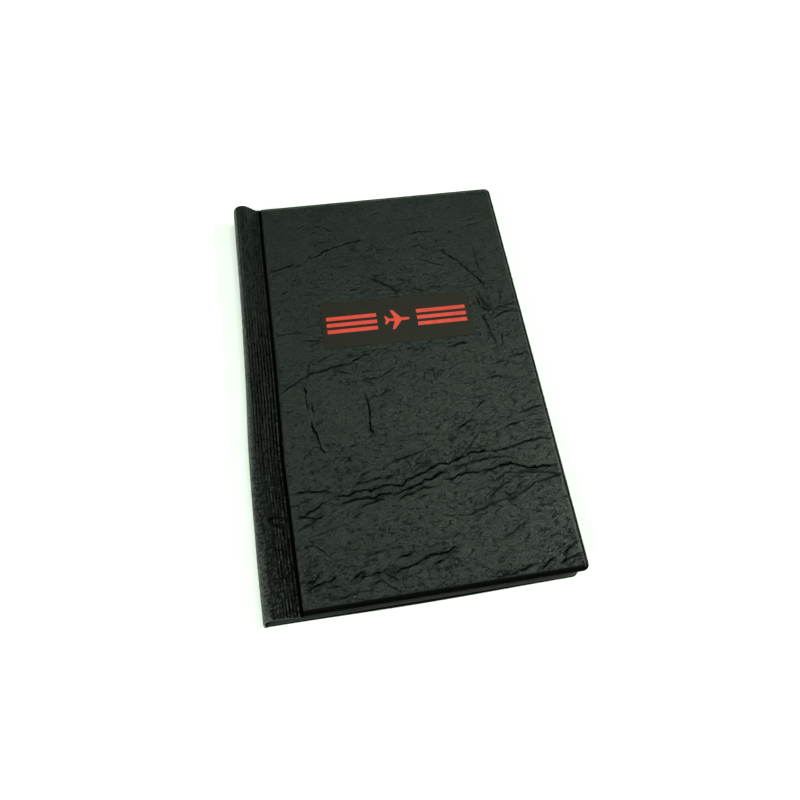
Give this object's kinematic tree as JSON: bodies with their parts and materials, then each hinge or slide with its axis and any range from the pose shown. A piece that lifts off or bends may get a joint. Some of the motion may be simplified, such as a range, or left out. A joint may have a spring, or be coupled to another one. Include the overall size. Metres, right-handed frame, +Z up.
{
  "type": "loose-leaf pilot logbook",
  "caption": "Slim loose-leaf pilot logbook with leather-grain covers, a ribbed flexible spine, screw-post binding, turning leaves and a title label.",
  "frame": {"origin": "centre of the footprint, on the underside of the back cover, which lies on the table", "axes": "+X from the spine to the fore edge, +Y from the tail to the head, +Z up, towards the front cover"},
  "size_m": [0.1552, 0.229, 0.0158],
  "materials": {
    "cover_skin": "black-green leather-grain vinyl with random creases, satin",
    "spine_skin": "black-green leather-grain vinyl, embossed with fine ribs",
    "cover_lining": "smooth matte black vinyl with a fine grain",
    "cover_board": "grey-brown bookbinder's board",
    "binding_steel": "plated steel, lightly brushed along its length",
    "post_brass": "turned brass, polished heads",
    "leaf_paper": "uncoated ledger paper with printed rules",
    "label_film": "thin satin dark brown film",
    "label_red": "bright red screen print"
  },
  "bodies": {
    "back_cover": {"back_cover_skin": "cover_skin", "back_board": "cover_board", "back_lining": "cover_lining", "lower_binding_bar": "binding_steel", "upper_binding_bar": "binding_steel", "post_barrels": "post_brass", "post_screws": "post_brass", "endorsement_leaves": "leaf_paper", "summary_leaves": "leaf_paper", "rear_record_leaves": "leaf_paper", "front_record_margins": "leaf_paper", "title_margins": "leaf_paper"},
    "ribbed_spine": {"ribbed_spine_skin": "spine_skin", "spine_stiffener": "cover_board", "spine_lining": "cover_lining"},
    "front_cover": {"front_cover_skin": "cover_skin", "front_board": "cover_board", "front_lining": "cover_lining", "title_label": "label_film", "label_motif": "label_red"},
    "title_sheaf": {"ratings_leaves": "leaf_paper", "holder_leaf": "leaf_paper", "title_leaf": "leaf_paper"},
    "record_sheaf": {"front_record_leaves": "leaf_paper"}
  },
  "joints": [
    {"name": "spine_hinge", "type": "hinge", "parent": "back_cover", "child": "ribbed_spine", "pos_m": [-0.0777, 0, 0.005], "axis": [0, -1, 0], "range_deg": [0, 150]},
    {"name": "crease_hinge", "type": "hinge", "parent": "ribbed_spine", "child": "front_cover", "pos_m": [-0.0591, 0, 0.0099], "axis": [0, -1, 0], "range_deg": [0, 34]},
    {"name": "title_sheaf_turn", "type": "hinge", "parent": "back_cover", "child": "title_sheaf", "pos_m": [-0.0581, 0, 0.0102], "axis": [0, -1, 0], "range_deg": [0, 178]},
    {"name": "record_sheaf_turn", "type": "hinge", "parent": "back_cover", "child": "record_sheaf", "pos_m": [-0.0581, 0, 0.0102], "axis": [0, -1, 0], "range_deg": [0, 175]}
  ],
  "couplings": [
    {"joint": "crease_hinge", "follows": "spine_hinge", "ratio": 0.22},
    {"joint": "title_sheaf_turn", "follows": "spine_hinge", "ratio": 1.18},
    {"joint": "record_sheaf_turn", "follows": "spine_hinge", "ratio": 1.155}
  ]
}
